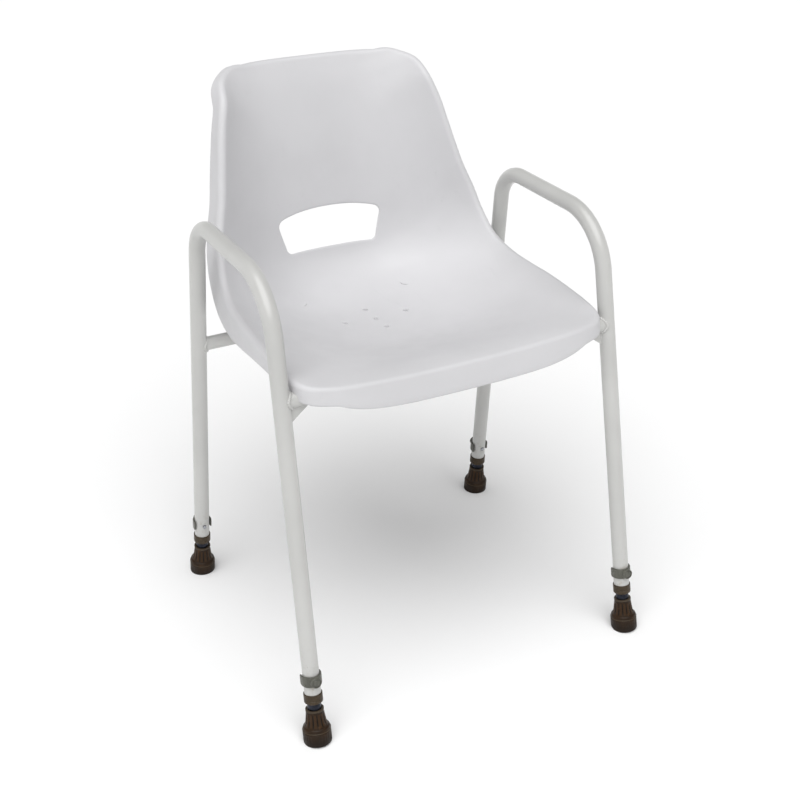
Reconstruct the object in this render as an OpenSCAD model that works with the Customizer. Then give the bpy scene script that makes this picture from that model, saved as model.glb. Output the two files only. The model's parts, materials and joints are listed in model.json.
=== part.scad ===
// Height-adjustable shower chair: a moulded bucket seat on a welded frame of two
// bent side tubes and two cross rails, with a telescopic leg at each corner.
// Millimetres. +Z is up, the chair faces -Y, and x = 0 is its plane of symmetry.
// Heights are above the floor with every leg on its shortest setting.

/* [Frame] */
// Height of the seat at its drain holes
seat_height = 438; // [400:1:520]
// Width of the seat over its rim
seat_width = 472; // [420:1:560]
// Distance between the leg centrelines at the floor, front to back
foot_base = 437; // [410:1:470]
// Height of the armrest centreline above the seat
arm_rise = 177; // [160:1:240]
// Gap between the seat's rim and each front leg
leg_clearance = 2; // [1:0.5:10]
// Inward lean of each side frame from vertical
side_lean = 1.06; // [0.6:0.02:1.4]
// Backward lean of the front legs
front_lean = 12.36; // [11:0.1:13]
// Forward lean of the rear legs
rear_lean = 5.26; // [4:0.1:6.5]
// Bend radius at the front of the armrest
front_bend = 90; // [60:1:100]
// Bend radius at the back of the armrest
rear_bend = 52; // [40:1:60]
// Wall of the side frame tube with its coating
frame_wall = 1.9; // [1.5:0.1:3]
// Outside diameter of the two cross rails
rail_od = 20; // [16:0.5:22]
// Wall of the cross rails
rail_wall = 1.6; // [1.2:0.1:2.5]
// Gap between the front cross rail and the seat above its middle
front_rail_gap = 2; // [1:0.5:12]
// Drop from the seat at its drain holes to the rear cross rail's centreline
rear_rail_drop = 19; // [17:1:40]
// Leg of each triangular gusset under the front rail, along the rail
gusset_reach = 24; // [16:1:36]
// Thickness of the gusset plates
gusset_thickness = 4; // [2:0.5:6]

/* [Legs] */
// Outside diameter of the telescopic leg tube
leg_od = 19; // [18:0.1:20]
// Wall of the telescopic leg tube
leg_wall = 1.5; // [1:0.1:2]
// Length of the telescopic leg tube
leg_length = 290; // [270:1:320]
// Distance between neighbouring height settings
hole_pitch = 25; // [20:1:26]
// Number of height settings
hole_count = 7; // [3:1:7]
// Height of the locking pin along the leg
pin_height = 94; // [92:1:110]
// Diameter of the locking pin
pin_d = 6; // [4:0.5:7]

/* [Clips and collars] */
// Thickness of the clip's strap
strap_thickness = 2.5; // [1.5:0.1:3.5]
// Height of the clip's strap
strap_height = 13; // [9:0.5:15]
// Diameter of the clip's round head
clip_head_d = 15; // [11:0.5:15]
// Wall of the collar at the end of the side frame tube
collar_wall = 1.5; // [1.2:0.1:3.5]
// Height of the collar's top edge along the leg
collar_top = 73; // [70:1:80]
// Length of the collar
collar_length = 15; // [10:1:18]

/* [Ferrules] */
// Height of the ferrule's top edge along the leg
ferrule_top = 49; // [44:1:52]
// Diameter of the ferrule's base
ferrule_base_d = 39; // [36:0.5:44]
// Wall of the ferrule at its mouth
ferrule_wall = 3.1; // [2.5:0.1:4.5]
// Thickness of rubber under the steel disc
sole_thickness = 5; // [4.8:0.1:8]

/* [Seat] */
// Wall of the moulded seat
seat_wall = 4; // [3:0.1:4.5]
// Radius of the rolled rim
rim_radius = 7; // [6:0.5:9]
// Width of the hand slot along its top edge
slot_width = 168; // [120:1:172]
// Height of the hand slot
slot_height = 60; // [36:1:64]
// Height of the hand slot's centre above the seat
slot_rise = 91; // [84:1:100]
// Diameter of the drain holes
drain_d = 7; // [4:0.5:10]
// Distance of the side drain holes from the middle one
drain_side = 50; // [30:1:60]
// Distance of the front and back drain holes from the middle one
drain_fore = 34; // [20:1:40]
// Distance of the seat fixings from the middle of the chair
fixing_side = 90; // [70:1:100]
// Diameter of the fixing bosses under the seat
boss_d = 20; // [16:0.5:24]
// Diameter of the seat fixing screws
screw_d = 5; // [4:0.5:6]

/* [Hidden] */

$fn = 48;
frame_white = [0.86, 0.86, 0.84];
seat_white = [0.83, 0.83, 0.85];
rubber_brown = [0.24, 0.17, 0.11];
clip_grey = [0.50, 0.52, 0.49];
steel = [0.72, 0.73, 0.75];

// Clearances
slide_gap = 0.1;    // leg tube in the side frame tube and in the collar, each side
touch_gap = 0.02;   // pieces pushed together and left there
pin_gap = 0.3;      // locking pin in its holes, each side
strap_gap = 0.3;    // strap around the side frame tube
screw_gap = 0.3;    // screw in its holes through the rails, each side
bend_thinning = 0.05; // tube wall lost on each face in a bend
bend_lap = 0.5;     // straight tube running on into the bend
beyond = 1;         // how far a cut runs past the face it opens
far = 700;          // longer than any tube or cut
rim_rise = 56;      // from the seat up to its rim where the front legs pass it

// Tube radii and heights
leg_r = leg_od / 2;
frame_r = leg_r + slide_gap + frame_wall;
frame_od = 2 * frame_r;
ferrule_mouth_d = leg_od + 2 * ferrule_wall;
collar_od = frame_od + 2 * collar_wall;
arm_height = seat_height + arm_rise;
rim_height = seat_height + rim_rise;

// Side frame worked out in its own plane: h runs front to back, v runs up the plane
foot_track = seat_width + 2 * (leg_clearance + frame_r + rim_height * tan(side_lean));
pin_r = pin_d / 2;
frame_bore_r = leg_r + slide_gap;
arm_v = arm_height / cos(side_lean);
front_corner = [-foot_base / 2 + arm_v * tan(front_lean), arm_v];
rear_corner = [foot_base / 2 - arm_v * tan(rear_lean), arm_v];
front_turn = 90 - front_lean;
rear_turn = 90 - rear_lean;
front_setback = front_bend * tan(front_turn / 2);
rear_setback = rear_bend * tan(rear_turn / 2);
front_up = [sin(front_lean), cos(front_lean)];
rear_up = [-sin(rear_lean), cos(rear_lean)];
collar_lip = 3;
tube_end = collar_top - collar_length + collar_lip;

// Collar, ferrule and clip details
collar_chamfer = 2;
disc_thickness = 2;
disc_r = leg_r - 0.2;
tube_foot = sole_thickness + disc_thickness;
sole_below = 3;     // rubber that reaches under the floor plane before the sole is cut flat
ferrule_edge = 3;   // radius around the sole
shoulder_z = 24;    // top of the rounded shoulder
shoulder_r = 4;     // its radius
ferrule_lip = 3;    // height of the lip at the mouth
strap_in_r = frame_r + strap_gap;
strap_out_r = strap_in_r + strap_thickness;
strap_tail = 6;
clip_head_out = 4;
pin_tail = 2;
pin_reach = frame_r + pin_tail;
head_face = strap_out_r + clip_head_out;

// Hand slot
slot_corner = 10;
slot_taper = 0.88;  // width of the bottom edge against the top edge
slot_crown = 6;     // how far the top edge drops towards its ends
slot_depth = 120;   // length of the cut that opens the slot

// Drain holes
drain_middle = 108; // behind the middle of the footprint
drain_cut = 40;     // half the length of the cuts that open them

gusset_slope = 36;  // rise of the gusset's free edge

// Seat fixings
screw_head_r = 4.6;
screw_head_h = 3;
washer_r = 8;
washer_t = 1.2;
screw_bite = 2.2;

// Rows of the seat from its front edge to its top edge, as
// [half width, rim y, rim z, middle y, middle z, dish power, skirt length, skirt angle].
// The skirt hangs from the rolled rim. Its angle is 0 for straight down and 90 for straight back.
// Heights are for a seat 438 high at its drain holes.
ROWS = [
    [184, -143, 490, -150, 487, 2.4, 19, -15],
    [211, -134, 492, -137, 488, 2.4, 18, -12],
    [225, -117, 494, -116, 486, 2.3, 17, -6],
    [229, -86, 497, -84, 477, 2.2, 18, 0],
    [229, -40, 500, -38, 463, 2.2, 19, 0],
    [228, 8, 502, 10, 449, 2.2, 24, 0],
    [225, 54, 503, 58, 441, 2.2, 32, 2],
    [221, 100, 507, 112, 438, 2.2, 40, 12],
    [214, 140, 521, 168, 440, 2.4, 49, 30],
    [207, 168, 549, 216, 452, 2.6, 49, 50],
    [199, 186, 583, 247, 477, 2.7, 42, 61],
    [188, 201, 616, 261, 509, 2.8, 38, 65],
    [181, 214, 647, 269, 549, 2.8, 35, 68],
    [174, 227, 680, 278, 596, 2.9, 32, 68],
    [167, 239, 711, 288, 646, 3, 28, 69],
    [157, 255, 742, 301, 695, 3.1, 23, 70],
    [150, 279, 762, 312, 734, 3.2, 17, 72],
    [131, 303, 771, 321, 758, 3.3, 12, 74],
    [104, 318, 773, 326, 770, 3.4, 10, 76],
];
front_lip = 13;     // extra skirt length in the middle of the front edge
rows_height = 438;   // height of the seat that the rows are drawn for
back_start = 0.6;    // rows below this share of the way up belong to the sitting part
widest = max([for (r = ROWS) r[0]]);
spread = (seat_width / 2 - rim_radius) / widest;
lift = seat_height - rows_height;
steps_long = 36;
steps_wide = 20;
roll_steps = 3;

// Smooth value between the rows: u = 0 is the front edge and u = 1 the top edge
function row_at(i) = ROWS[max(0, min(len(ROWS) - 1, i))];
function smooth(a, b, c, d, t) =
    0.5 * (2 * b + (c - a) * t + (2 * a - 5 * b + 4 * c - d) * t * t + (3 * b - a - 3 * c + d) * t * t * t);
function row(u) =
    let (p = u * (len(ROWS) - 1), i = min(len(ROWS) - 2, floor(p)))
    smooth(row_at(i - 1), row_at(i), row_at(i + 1), row_at(i + 2), p - i);

// Point of the seat's upper surface: t runs from -1 at the left rim to 1 at the right
function skin(u, t) =
    let (r = row(u), k = pow(abs(t), r[5]))
    [spread * r[0] * t, r[3] + (r[1] - r[3]) * k, lift + r[4] + (r[2] - r[4]) * k];
function unit(v) = v / norm(v);
small_step = 0.01;
function along(u, t) =
    skin(min(1, u + small_step), t) - skin(max(0, u - small_step), t);
function across(u, t) =
    skin(u, min(1, t + small_step)) - skin(u, max(-1, t - small_step));
function up_normal(u, t) = unit(cross(across(u, t), along(u, t)));

// Grid of [u, t] places, and the closed loop of places around its edge
GRID = [for (i = [0:steps_long]) for (j = [0:steps_wide]) [i / steps_long, 2 * j / steps_wide - 1]];
EDGE = concat(
    [for (j = [0:steps_wide - 1]) [0, j]],
    [for (i = [0:steps_long - 1]) [i, steps_wide]],
    [for (j = [steps_wide:-1:1]) [steps_long, j]],
    [for (i = [steps_long:-1:1]) [i, 0]]
);
edge_count = len(EDGE);
grid_count = len(GRID);
function grid_index(i, j) = i * (steps_wide + 1) + j;

// Place and point number m around the edge, and the outward direction there
function edge_place(m) =
    let (e = EDGE[(m + edge_count) % edge_count]) [e[0] / steps_long, 2 * e[1] / steps_wide - 1];
function edge_point(m) = let (p = edge_place(m)) skin(p[0], p[1]);
function outward(m) =
    let (p = edge_place(m)) unit(cross(edge_point(m + 1) - edge_point(m - 1), up_normal(p[0], p[1])));
function skirt_length(u, t) = row(u)[6] + (u == 0 ? front_lip * (1 - pow(t, 4)) : 0);
function skirt_way(u) = let (a = row(u)[7]) [0, sin(a), -cos(a)];

// Rolled rim and skirt: ring k of roll_steps turns from the surface into the skirt,
// and the last ring is the skirt's free edge. inset is 0 outside and seat_wall inside.
function rim_point(m, k, inset) =
    let (p = edge_place(m), n = up_normal(p[0], p[1]), o = outward(m))
    let (full = acos(max(-1, min(1, o * skirt_way(p[0])))), turn = full * min(k, roll_steps) / roll_steps)
    let (face = sin(turn) * o + cos(turn) * n, centre = edge_point(m) - rim_radius * n)
    let (tail = k > roll_steps ? skirt_length(p[0], p[1]) : 0)
    centre + (rim_radius - inset) * face + tail * (cos(full) * o - sin(full) * n);

SEAT_POINTS = concat(
    [for (g = GRID) skin(g[0], g[1])],
    [for (g = GRID) skin(g[0], g[1]) - seat_wall * up_normal(g[0], g[1])],
    [for (inset = [0, seat_wall]) for (k = [1:roll_steps + 1]) for (m = [0:edge_count - 1])
        rim_point(m, k, inset)]
);
// Index of edge point m on ring k, outside (shell = 0) or inside (shell = 1)
function ring_index(shell, k, m) =
    let (w = m % edge_count)
    k == 0 ? shell * grid_count + grid_index(EDGE[w][0], EDGE[w][1])
    : 2 * grid_count + (shell * (roll_steps + 1) + k - 1) * edge_count + w;
function quad(a, b, c, d, flip) = flip ? [[a, b, c], [a, c, d]] : [[c, b, a], [d, c, a]];
SEAT_FACES = concat(
    [for (shell = [0, 1]) for (i = [0:steps_long - 1]) for (j = [0:steps_wide - 1])
        let (a = shell * grid_count)
        each quad(a + grid_index(i, j), a + grid_index(i, j + 1), a + grid_index(i + 1, j + 1),
            a + grid_index(i + 1, j), shell == 1)],
    [for (shell = [0, 1]) for (k = [0:roll_steps]) for (m = [0:edge_count - 1])
        each quad(ring_index(shell, k, m), ring_index(shell, k + 1, m), ring_index(shell, k + 1, m + 1),
            ring_index(shell, k, m + 1), shell == 1)],
    [for (m = [0:edge_count - 1])
        each quad(ring_index(0, roll_steps + 1, m), ring_index(1, roll_steps + 1, m),
            ring_index(1, roll_steps + 1, m + 1), ring_index(0, roll_steps + 1, m + 1), false)]
);

// The origin stands midway between the foremost and the rearmost points of the chair
front_reach = -foot_base / 2 - ferrule_base_d / 2 * cos(front_lean);
back_reach = max([for (p = SEAT_POINTS) p[1]]);
middle_y = (front_reach + back_reach) / 2;

// Cross rail and seat fixing places
function front_leg_y(z) = -foot_base / 2 + z / cos(side_lean) * tan(front_lean);
function rear_leg_y(z) = foot_base / 2 - z / cos(side_lean) * tan(rear_lean);
function leg_x(z) = foot_track / 2 - z * tan(side_lean);
rail_r = rail_od / 2;

// Height of the seat's upper surface at a place, found by walking along its rows
function row_near(x, y, lo, hi, n) =
    let (u = (lo + hi) / 2, r = row(u), t = min(1, x / (spread * r[0])))
    n == 0 ? u : skin(u, t)[1] < y ? row_near(x, y, u, hi, n - 1) : row_near(x, y, lo, u, n - 1);
function seat_z(x, y) =
    let (u = row_near(x, y, 0, back_start, 16), r = row(u)) skin(u, x / (spread * r[0]))[2];

// The front rail lies under the seat where the sloping front legs pass it, found in a few rounds
function rail_under_seat(z, rounds) =
    rounds == 0 ? z
    : rail_under_seat(seat_z(0, front_leg_y(z)) - seat_wall - front_rail_gap - rail_r, rounds - 1);
front_rail_height = rail_under_seat(seat_height, 6);
rear_rail_height = seat_height - rear_rail_drop;
front_rail = [front_leg_y(front_rail_height), front_rail_height];
rear_rail = [rear_leg_y(rear_rail_height), rear_rail_height];

// ---- Placing ----

module chair_frame() {
    translate([0, -middle_y, 0]) children();
}

// Puts children, drawn for the left side, on the left (side = -1) or right (side = 1)
module on_side(side) {
    mirror([side > 0 ? 1 : 0, 0, 0]) translate([-foot_track / 2, 0, 0]) rotate([0, side_lean, 0]) children();
}

// Puts children, drawn on the Z axis with their outer side at -Y, on one leg
module on_leg(side, end) {
    on_side(side)
        if (end < 0) translate([0, -foot_base / 2, 0]) rotate([-front_lean, 0, 0]) children();
        else translate([0, foot_base / 2, 0]) rotate([rear_lean, 0, 0]) rotate([0, 0, 180]) children();
}

// Section of the side frame tube, drawn thinner on both faces where it is bent
module tube_section(thinning) {
    difference() {
        circle(r = frame_r - thinning);
        circle(r = frame_bore_r + thinning);
    }
}

// Bend from the armrest and the leg below it, drawn from the bend's own centre
module bend_and_leg(bend, turn, leg) {
    rotate_extrude(angle = turn) translate([bend, 0]) tube_section(bend_thinning);
    rotate([0, 0, turn]) translate([bend, -bend_lap, 0]) rotate([-90, 0, 0])
        linear_extrude(height = leg + bend_lap) tube_section(0);
}

// Whole line of one side frame, drawn in the XY plane with the floor at y = 0
module side_line() {
    arm_from = front_corner[0] + front_setback;
    arm_to = rear_corner[0] - rear_setback;
    translate([arm_from - bend_lap, arm_v, 0]) rotate([0, 90, 0])
        linear_extrude(height = arm_to - arm_from + 2 * bend_lap) tube_section(0);
    translate([arm_from, arm_v - front_bend, 0]) rotate([0, 0, 90])
        bend_and_leg(front_bend, front_turn, arm_v / cos(front_lean) - front_setback - tube_end);
    translate([arm_to, arm_v - rear_bend, 0]) rotate([0, 0, 90]) mirror([0, 1, 0])
        bend_and_leg(rear_bend, rear_turn, arm_v / cos(rear_lean) - rear_setback - tube_end);
}

module pin_hole(height) {
    translate([0, far / 2, height]) rotate([90, 0, 0]) cylinder(h = far, r = pin_r + pin_gap);
}

module side_frame(side) {
    color(frame_white) difference() {
        on_side(side) rotate([90, 0, 90]) side_line();
        for (end = [-1, 1]) on_leg(side, end) intersection() {
            pin_hole(pin_height);
            translate([0, 0, pin_height]) cube(2 * frame_od, center = true);
        }
    }
}

// Outside of the leg part of both side frames, used to shape what is welded to them
module leg_outsides() {
    for (side = [-1, 1]) for (end = [-1, 1]) on_leg(side, end) cylinder(h = far, r = frame_r);
}

module across_bar(place, r, length) {
    translate([-length / 2, place[0], place[1]]) rotate([0, 90, 0]) cylinder(h = length, r = r);
}

module cross_rail(place) {
    color(frame_white) difference() {
        across_bar(place, rail_r, 2 * leg_x(place[1]));
        across_bar(place, rail_r - rail_wall, far);
        leg_outsides();
        for (side = [-1, 1])
            fixing_bar(side, place, screw_d / 2 + screw_gap, -rail_r - beyond, rail_r + beyond);
    }
}

// Upright round bar at a seat fixing, between two heights above the rail's centre
module fixing_bar(side, place, r, from, to) {
    translate([side * fixing_side, place[0], place[1] + from]) cylinder(h = to - from, r = r);
}

module front_gussets() {
    inner_x = leg_x(front_rail_height) - frame_r;
    drop = rail_r + gusset_reach * tan(gusset_slope);
    color(frame_white) for (side = [-1, 1]) mirror([side > 0 ? 1 : 0, 0, 0]) difference() {
        translate([0, front_rail[0], front_rail[1]]) rotate([90 - front_lean, 0, 0])
            linear_extrude(height = gusset_thickness, center = true)
                polygon([[-inner_x - frame_r, 0], [-inner_x - frame_r, -drop - frame_r * tan(gusset_slope)],
                    [-inner_x + gusset_reach, -rail_r], [-inner_x + gusset_reach, 0]]);
        leg_outsides();
        across_bar(front_rail, rail_r, far);
    }
}

module seat_screws() {
    color(steel) for (side = [-1, 1]) for (place = [front_rail, rear_rail]) {
        top = screw_top(place);
        fixing_bar(side, place, screw_d / 2, -rail_r - washer_t, top);
        fixing_bar(side, place, screw_head_r, -rail_r - washer_t - screw_head_h, -rail_r - washer_t);
    }
}
// Height of a screw's tip above its rail's centre
function screw_top(place) = seat_z(fixing_side, place[0]) - place[1] - screw_bite;

module screw_washers() {
    color(steel) for (side = [-1, 1]) for (place = [front_rail, rear_rail]) difference() {
        fixing_bar(side, place, washer_r, -rail_r - washer_t, -rail_r / 2);
        fixing_bar(side, place, screw_d / 2 + screw_gap, -rail_r - washer_t - beyond, 0);
        across_bar(place, rail_r, far);
    }
}

// ---- Seat ----

// Rounded outline of the hand slot, wider at the top, seen from the front
module slot_outline() {
    top = slot_width / 2 - slot_corner;
    low = top * slot_taper;
    rise = slot_height / 2 - slot_corner;
    hull() {
        for (side = [-1, 1]) {
            translate([side * top, rise - slot_crown]) circle(r = slot_corner, $fn = 24);
            translate([side * low, -rise]) circle(r = slot_corner, $fn = 24);
            translate([side * top / 2, rise]) circle(r = slot_corner, $fn = 24);
        }
    }
}

module seat_shell() {
    color(seat_white) difference() {
        union() {
            polyhedron(points = SEAT_POINTS, faces = SEAT_FACES);
            for (side = [-1, 1]) for (place = [front_rail, rear_rail])
                fixing_bar(side, place, boss_d / 2, 0, screw_top(place));
        }
        for (place = [front_rail, rear_rail]) across_bar(place, rail_r, far);
        for (side = [-1, 1]) for (place = [front_rail, rear_rail])
            fixing_bar(side, place, screw_d / 2 + touch_gap, 0, screw_top(place));
        translate([0, row(back_start)[3] + slot_depth / 2, seat_height + slot_rise]) rotate([90, 0, 0])
            linear_extrude(height = slot_depth) slot_outline();
        for (shift = [[0, 0], [-drain_side, 0], [drain_side, 0], [0, -drain_fore], [0, drain_fore]])
            translate([shift[0], drain_middle + shift[1], seat_height - drain_cut])
                cylinder(h = 2 * drain_cut, r = drain_d / 2);
    }
}

// ---- Leg pieces, drawn on the Z axis with the outer side at -Y ----

module leg_tube() {
    color(steel) difference() {
        translate([0, 0, tube_foot]) cylinder(h = leg_length, r = leg_r);
        translate([0, 0, tube_foot - beyond]) cylinder(h = leg_length + 2 * beyond, r = leg_r - leg_wall);
        for (i = [0:hole_count - 1]) pin_hole(pin_height + i * hole_pitch);
    }
}

module collar() {
    low = collar_top - collar_length;
    r = collar_od / 2;
    color(rubber_brown) rotate_extrude() polygon([
        [leg_r + slide_gap, low], [r - collar_chamfer, low], [r, low + collar_chamfer], [r, collar_top - 1],
        [r - 1, collar_top], [frame_r + touch_gap, collar_top], [frame_r + touch_gap, tube_end],
        [leg_r + slide_gap, tube_end]
    ]);
}

module strap_outline() {
    difference() {
        union() {
            circle(r = strap_out_r);
            translate([-strap_out_r, 0]) square([2 * strap_out_r, strap_tail]);
        }
        circle(r = strap_in_r);
        translate([-strap_in_r, 0]) square([2 * strap_in_r, strap_out_r]);
    }
}

module clip() {
    color(clip_grey) difference() {
        union() {
            translate([0, 0, pin_height - strap_height / 2])
            linear_extrude(height = strap_height) intersection() {
                strap_outline();
                translate([-strap_out_r, -strap_out_r]) square([2 * strap_out_r, strap_out_r + strap_tail]);
            }
            translate([0, -strap_in_r - strap_thickness / 2, pin_height]) rotate([90, 0, 0])
                cylinder(h = clip_head_out + strap_thickness / 2, r = clip_head_d / 2);
        }
        translate([0, 0, pin_height]) rotate([90, 0, 0]) cylinder(h = far, r = pin_r + touch_gap);
        cylinder(h = far, r = strap_in_r);
    }
}

module clip_pin() {
    color(steel) translate([0, 0, pin_height]) rotate([90, 0, 0]) rotate_extrude()
        polygon(concat([[0, head_face], [pin_r - 0.5, head_face], [pin_r, head_face - 0.5]],
            [for (a = [0:15:90]) [pin_r * cos(a), -pin_reach - pin_r / 2 * sin(a)]]));
}

// A straight base, a rounded shoulder above it, and a body that tapers to a lip at the mouth
module ferrule() {
    base_r = ferrule_base_d / 2;
    mouth_r = ferrule_mouth_d / 2;
    waist_r = mouth_r + 1.4;
    lip_low = ferrule_top - ferrule_lip;
    bottom = ferrule_edge - sole_below;
    color(rubber_brown) rotate_extrude() polygon(concat(
        [[0, -sole_below], [base_r - ferrule_edge, -sole_below]],
        [for (a = [-75:15:0]) [base_r - ferrule_edge + ferrule_edge * cos(a), bottom + ferrule_edge * sin(a)]],
        [for (a = [15:15:75])
            [base_r - shoulder_r + shoulder_r * cos(a), shoulder_z - shoulder_r + shoulder_r * sin(a)]],
        [[waist_r + 1.8, shoulder_z + 1.5], [waist_r, shoulder_z + 7], [mouth_r - 0.5, lip_low - 1],
            [mouth_r, lip_low], [mouth_r, ferrule_top - 0.5], [mouth_r - 0.5, ferrule_top],
            [leg_r + touch_gap, ferrule_top], [leg_r + touch_gap, sole_thickness], [0, sole_thickness]]
    ));
}

module standing_ferrule(side, end) {
    difference() {
        on_leg(side, end) ferrule();
        translate([-far, -far, -far]) cube([2 * far, 2 * far, far]);
    }
}

module steel_disc() {
    color(steel) translate([0, 0, sole_thickness]) cylinder(h = disc_thickness, r = disc_r);
}

// ---- Assembly ----

LEGS = [["front_left", -1, -1], ["front_right", 1, -1], ["rear_left", -1, 1], ["rear_right", 1, 1]];

chair_frame() {
    seat_shell();
    side_frame(-1);  // left_side_frame
    side_frame(1);  // right_side_frame
    cross_rail(front_rail);  // front_cross_rail
    cross_rail(rear_rail);  // rear_cross_rail
    front_gussets();
    seat_screws();
    screw_washers();
    for (leg = LEGS) {
        on_leg(leg[1], leg[2]) leg_tube();
        on_leg(leg[1], leg[2]) collar();
        on_leg(leg[1], leg[2]) clip();
        on_leg(leg[1], leg[2]) clip_pin();
        standing_ferrule(leg[1], leg[2]);
        on_leg(leg[1], leg[2]) steel_disc();
    }
}
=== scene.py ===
import functools
import json
import math

import bmesh
import bpy
from bpy.props import FloatProperty, FloatVectorProperty, IntProperty, PointerProperty
from mathutils import Matrix, Vector


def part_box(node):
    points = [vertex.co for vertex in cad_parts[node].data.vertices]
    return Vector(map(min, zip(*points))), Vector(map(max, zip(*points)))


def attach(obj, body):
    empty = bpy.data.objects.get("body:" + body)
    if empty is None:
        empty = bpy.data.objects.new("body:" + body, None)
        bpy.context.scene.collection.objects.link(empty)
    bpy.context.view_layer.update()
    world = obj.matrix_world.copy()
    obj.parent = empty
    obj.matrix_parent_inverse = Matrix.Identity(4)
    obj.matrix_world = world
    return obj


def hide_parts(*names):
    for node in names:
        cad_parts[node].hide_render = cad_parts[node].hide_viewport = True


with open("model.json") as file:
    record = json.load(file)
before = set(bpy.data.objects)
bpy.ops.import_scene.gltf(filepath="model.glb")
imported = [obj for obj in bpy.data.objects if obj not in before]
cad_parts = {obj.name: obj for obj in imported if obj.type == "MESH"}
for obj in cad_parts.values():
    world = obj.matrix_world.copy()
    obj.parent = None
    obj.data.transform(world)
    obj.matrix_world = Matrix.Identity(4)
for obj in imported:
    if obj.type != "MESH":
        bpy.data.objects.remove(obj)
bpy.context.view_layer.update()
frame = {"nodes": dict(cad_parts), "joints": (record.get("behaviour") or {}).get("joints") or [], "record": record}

bl_info = {
    "name": "Shower chair",
    "version": (1, 0, 0),
    "blender": (4, 5, 0),
    "location": "3D View > Sidebar > Shower chair",
    "description": "Builds the pieces and finishes of a height-adjustable shower chair",
    "category": "Object",
}

MM = 0.001
FIT = 0.00002        # gap between pieces that touch
CLIP_GAP = 0.0003    # gap between a clip and its tube
LEGS = ("front_left", "front_right", "rear_left", "rear_right")
JOINTS = {joint["name"]: joint for joint in frame["joints"]}
MOUNTS = {mount["name"]: mount for mount in frame["record"]["mounts"]}
FEET = {leg: Vector(MOUNTS[leg + "_foot"]["pos_m"]) for leg in LEGS}
FOOTPRINT_MIDDLE = (FEET["front_left"].y + FEET["rear_left"].y) / 2

# Rows of the seat from its front edge to its top edge, in millimetres from the middle of the feet:
# half width, rim y, rim z, middle y, middle z, dish power, skirt length, skirt angle.
# The skirt hangs from the rolled rim. Its angle is 0 for straight down and 90 for straight back.
SEAT_ROWS = (
    (184, -143, 490, -150, 487, 2.4, 19, -15),
    (211, -134, 492, -137, 488, 2.4, 18, -12),
    (225, -117, 494, -116, 486, 2.3, 17, -6),
    (229, -86, 497, -84, 477, 2.2, 18, 0),
    (229, -40, 500, -38, 463, 2.2, 19, 0),
    (228, 8, 502, 10, 449, 2.2, 24, 0),
    (225, 54, 503, 58, 441, 2.2, 32, 2),
    (221, 100, 507, 112, 438, 2.2, 40, 12),
    (214, 140, 521, 168, 440, 2.4, 49, 30),
    (207, 168, 549, 216, 452, 2.6, 49, 50),
    (199, 186, 583, 247, 477, 2.7, 42, 61),
    (188, 201, 616, 261, 509, 2.8, 38, 65),
    (181, 214, 647, 269, 549, 2.8, 35, 68),
    (174, 227, 680, 278, 596, 2.9, 32, 68),
    (167, 239, 711, 288, 646, 3, 28, 69),
    (157, 255, 742, 301, 695, 3.1, 23, 70),
    (150, 279, 762, 312, 734, 3.2, 17, 72),
    (131, 303, 771, 321, 758, 3.3, 12, 74),
    (104, 318, 773, 326, 770, 3.4, 10, 76),
)
FRONT_LIP = 13   # extra skirt length in the middle of the front edge
SLOT_ROWS = (10, 13)   # rows between which the hand slot lies
SLOT_SIDE = 0.5625     # share of the half width that the slot and its lip take


# ---- Sizes and colours a user may change ----

def length(name, text, default):
    return FloatProperty(name=name, description=text, default=default, unit="LENGTH", precision=4)


def tint(name, text, default):
    return FloatVectorProperty(
        name=name, description=text, default=default, subtype="COLOR", min=0, max=1)


class ChairSeatSettings(bpy.types.PropertyGroup):
    """Sizes of the moulded seat."""
    wall: length("Wall", "Thickness of the moulding", 0.004)
    rim: length("Rim radius", "Radius of the rolled rim", 0.007)
    slot_width: length("Slot width", "Width of the hand slot along its top edge", 0.168)
    slot_height: length("Slot height", "Height of the hand slot", 0.060)
    slot_centre: length("Slot centre", "Height of the hand slot's centre above the floor", 0.529)
    slot_corner: length("Slot corner", "Corner radius of the hand slot", 0.010)
    slot_crown: length("Slot crown", "Drop of the slot's top edge towards its ends", 0.008)
    slot_taper: FloatProperty(
        name="Slot taper", description="Bottom width against top width", default=0.88)
    drain: length("Drain holes", "Diameter of the drain holes", 0.007)
    drain_side: length("Side drain holes", "Distance of the side drain holes from the middle one", 0.050)
    drain_fore: length("Fore drain holes", "Distance of the front and back holes from the middle one", 0.034)
    drain_middle: length("Drain middle", "Middle drain hole behind the middle of the feet", 0.108)
    boss: length("Boss", "Diameter of the fixing bosses", 0.020)
    rib_reach: length("Rib reach", "Reach of the ribs round each boss", 0.030)
    fixing: length("Fixings", "Distance of the seat fixings from the middle", 0.090)
    steps_long: IntProperty(
        name="Steps along", description="Mesh cells in each row gap", default=8, min=4)
    steps_wide: IntProperty(
        name="Steps across", description="Mesh cells across half the seat", default=48, min=16)


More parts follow.
